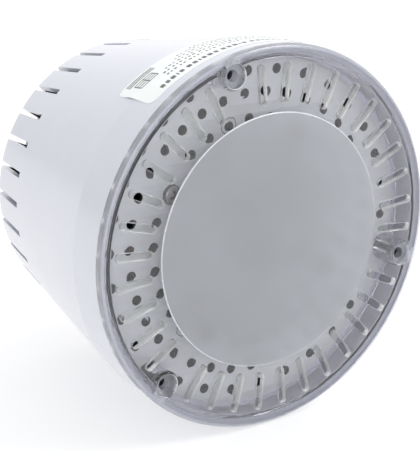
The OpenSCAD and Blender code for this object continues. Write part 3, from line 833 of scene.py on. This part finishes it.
def build_board():
    holes = [(INNER_RING_R, i * 12) for i in range(30) if not near_screw(i * 12)]
    holes += [(MIDDLE_RING_R, i * 360 / 35) for i in range(35)]
    holes += [(OUTER_RING_R, i * 12) for i in range(30) if i * 12 not in (0, 120, 132, 240)]
    outlines = [board_outline()]
    outlines += [circle(AIR_R, polar(r, CLOCK + a)) for r, a in holes]
    outlines += [circle(1.8, p) for p in board_screw_places()]
    board = plate_with_holes("light_board", outlines, BOARD_D, BOARD_T, 0.06, [board_white, board_hole_wall_painted_shade])
    front_y, back_y = place(0, 0, BOARD_D + 0.1).y, place(0, 0, BOARD_D + BOARD_T - 0.1).y
    # the air holes' walls (1) take the dark painted shade
    for face in board.data.polygons:
        in_hole = math.hypot(face.center.x, face.center.z) < HOLES_OUT_R * MM
        face.material_index = int(in_hole and abs(face.normal.y) < 0.2 and front_y < face.center.y < back_y)
    finish_piece(board, "lamp", "board_white", "led_board")

    # a printed ring around three of the inner air holes
    ink = Shape()
    ring_r, half_line = 3.3, 0.14
    for k in range(3):
        ink.revolve([(ring_r - half_line, BOARD_D - 0.03), (ring_r + half_line, BOARD_D - 0.03),
                     (ring_r + half_line, BOARD_D - 0.001), (ring_r - half_line, BOARD_D - 0.001)],
                    72, polar(INNER_RING_R, CLOCK + 120 * k))
    finish_piece(ink.build("board_print", [board_dark_marks]), "lamp", "board_white")

    # a thin dark ring on the board's face round each board screw
    screw_rings = Shape()
    for centre in board_screw_places():
        screw_rings.revolve([(3.4, BOARD_D - 0.035), (3.85, BOARD_D - 0.035), (3.85, BOARD_D - 0.001),
                      (3.4, BOARD_D - 0.001)], 48, centre)
    finish_piece(screw_rings.build("screw_dark_rings", [board_dark_marks]), "lamp", "board_white")


def build_emitters():
    shape = Shape()
    for k in (1, 2, 3):
        for i in range(6 * k):
            angle = CLOCK + 15 + i * 360 / (6 * k)
            centre = polar(12 * k, angle)
            shape.slab(*centre, 3.5, 3.5, BOARD_D - 0.9, BOARD_D, 0, 0.15, 0)
            shape.revolve([(1.46, BOARD_D - 0.93), (1.62, BOARD_D - 0.93), (1.62, BOARD_D - 0.88),
                           (1.46, BOARD_D - 0.88)], 32, centre, 2)
            dome = [(1.42 * math.cos(math.radians(t)), BOARD_D - 0.9 - 1.35 * math.sin(math.radians(t)))
                    for t in range(0, 91, 15)]
            shape.revolve(dome + [(0, BOARD_D - 0.88), (1.42, BOARD_D - 0.88)], 28, centre, 1)
    emitters = shape.build("emitter_packages", [emitter_body, emitter_phosphor, bright_steel])
    finish_piece(emitters, "lamp", "emitter_phosphor", "led_emitters")


# ---------------------------------------------------------------- screw base

def build_base():
    root_r = THREAD_R - 0.75
    thread_from, thread_to = 127.8, 146.2
    rows = 92
    outline = rounded([(SHELL_IN_R, NECK_D), (13.6, NECK_D, 0.3), (13.6, 127, 0.5), (root_r, 127.5)],
                      4, closed=False)
    outline += [(root_r, thread_from + (thread_to - thread_from) * i / rows) for i in range(rows + 1)]
    outline += rounded([(root_r, thread_to + 0.01), (10.9, SHELL_END, 0.5), (9.9, SHELL_END, 0.2),
                        (SHELL_IN_R, 145.6)], 4, closed=False)[1:]

    def thread(r, d, angle):
        """A rolled right-hand thread that rises from the shell and fades out at both ends."""
        if thread_from < d < thread_to and r == root_r:
            turns = (d - ORIGIN_D) / PITCH - angle / 360
            wave = 0.5 + 0.5 * math.cos(2 * math.pi * turns)
            fade = min(1, (d - thread_from) / 1.6, (thread_to - d) / 1.6)
            r += (THREAD_R - root_r) * wave ** 0.75 * math.sin(fade * math.pi / 2)
        return r, d, angle

    shell = Shape()
    shell.revolve(outline, 144, bend=thread)
    finish_piece(shell.build("thread_shell", [base_shell], sharp=40), "lamp", "base_shell", "screw_shell")

    insulator = Shape()
    insulator.revolve(rounded([(1.7, 146), (11.4, 146), (9.9, SHELL_END), (9.5, 149, 0.5), (8.4, 149.6, 0.6),
                               (5.8, 151, 0.35), (4.9, 151, 0.15), (4.9, 150.2), (1.7, 150.2)], 5), 96)
    finish_piece(insulator.build("insulator_cone", [insulator_black]), "lamp", "insulator_black",
                 "base_insulator")

    contact = Shape()
    dome = [(4.7 * math.sin(math.radians(t)), 151.1 + 1.7 * math.cos(math.radians(t)))
            for t in range(90, -1, -10)]
    contact.revolve([(0, 148), (1.6, 148), (1.6, 150.2), (4.6, 150.2), (4.75, 150.4), (4.8, 150.8)]
                    + [(r if r > 1e-6 else 0, d) for r, d in dome], 64)
    tip = contact.build("contact_tip", [bronze])
    finish_piece(tip, "lamp", "bronze", "centre_contact")


# ---------------------------------------------------------------- carried-over CAD nodes

FINISHES = {
    "lens_screws": black_steel, "board_screws": screw_steel, "heat_sink": aluminium, "fan_spacers": nylon,
    "fan_nuts": zinc_steel, "fan_frame": fan_black, "fan_rotor": rotor_black, "fan_shaft": bright_steel,
    "fan_bearing": bronze, "fan_stator": lamination, "fan_coils": copper_wire, "fan_magnet": ferrite,
    "driver_board": board_green, "driver_screws": zinc_steel, "transformer": transformer_core,
    "input_choke": copper_wire, "bulk_capacitors": capacitor_sleeve, "film_capacitor": capacitor_yellow,
    "bridge_rectifier": chip_black, "power_transistor": chip_black, "fuse": fuse_glass,
    "controller_chip": chip_black, "led_socket": nylon, "fan_socket": nylon, "line_wire": wire_black,
    "neutral_wire": wire_white, "led_leads": wire_black, "fan_leads": wire_red}


def dress_cad_nodes():
    for name, material in FINISHES.items():
        node = nodes[name]
        node.data.materials.clear()
        node.data.materials.append(material)
        if "wire" not in name and "leads" not in name:
            soften(node, 0.12, 2, 40)


# ---------------------------------------------------------------- stage

def build_floor():
    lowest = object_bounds()[0].z
    size = 40
    mesh = bpy.data.meshes.new("floor")
    corners = [(-size, -size), (size, -size), (size, size), (-size, size)]
    mesh.from_pydata([(x, y, lowest - 0.0004) for x, y in corners], [], [(0, 1, 2, 3)])
    floor = bpy.data.objects.new("floor", mesh)
    bpy.context.scene.collection.objects.link(floor)
    mesh.materials.append(
        Surface("floor", (0.55, 0.55, 0.55), 0.9, Emission_Color=(1, 1, 1, 1), Emission_Strength=0.45,
                Specular_IOR_Level=0.1).tint((0.59, 0.59, 0.59), 3).rough(0.85, 0.95, 40).material)


def area_light(name, location, target, size, power):
    light = bpy.data.lights.new(name, "AREA")
    light.shape = "RECTANGLE"
    light.size, light.size_y = size
    light.energy = power
    obj = bpy.data.objects.new(name, light)
    obj.location = location
    obj.rotation_euler = (Vector(target) - Vector(location)).to_track_quat("-Z", "Y").to_euler()
    bpy.context.scene.collection.objects.link(obj)


def build_light():
    scene = bpy.context.scene
    scene.view_settings.view_transform = "Standard"
    world = bpy.data.worlds.new("studio")
    world.use_nodes = True
    tree = world.node_tree
    coords = tree.nodes.new("ShaderNodeTexCoord")
    facing = tree.nodes.new("ShaderNodeVectorMath")
    facing.operation = "DOT_PRODUCT"
    facing.inputs[1].default_value = Vector((0.7, 0.2, 0.6)).normalized()
    glow = tree.nodes.new("ShaderNodeMapRange")
    glow.interpolation_type = "SMOOTHSTEP"
    glow.inputs["From Min"].default_value = -0.8
    glow.inputs["From Max"].default_value = 1.0
    glow.inputs["To Min"].default_value = 0.3
    glow.inputs["To Max"].default_value = 1.3
    tree.links.new(coords.outputs["Generated"], facing.inputs[0])
    tree.links.new(facing.outputs["Value"], glow.inputs["Value"])
    tree.links.new(glow.outputs["Result"], tree.nodes["Background"].inputs["Strength"])
    tree.nodes["Background"].inputs["Color"].default_value = (0.98, 0.985, 1.0, 1)
    scene.world = world
    area_light("left", (-1.3, 0.5, 0.7), (0, 0, 0), (1.3, 1.1), 2)
    area_light("right", (0.9, -1.0, 1.0), (0, -0.1, 0), (0.5, 0.9), 8)
    area_light("front", (-0.7, -1.5, 0.5), (0, -0.1, 0), (1.2, 0.8), 5)


def build_camera():
    """The viewpoint: in front of the lens, to its left and a little above, looking down at it."""
    forward = Vector((0.5296, 0.7894, -0.3105))
    camera_data = bpy.data.cameras.new("camera")
    camera_data.lens = 109.54
    camera_data.sensor_width = 36
    camera = bpy.data.objects.new("camera", camera_data)
    camera.location = (-0.3008, -0.5431, 0.1680)
    camera.rotation_euler = forward.to_track_quat("-Z", "Y").to_euler()
    camera_data.clip_start = 0.01
    bpy.context.scene.collection.objects.link(camera)
    bpy.context.scene.camera = camera


build_camera()
build_housing()
build_lens()
build_label()
build_board()
build_emitters()
build_base()
dress_cad_nodes()
build_floor()
build_light()
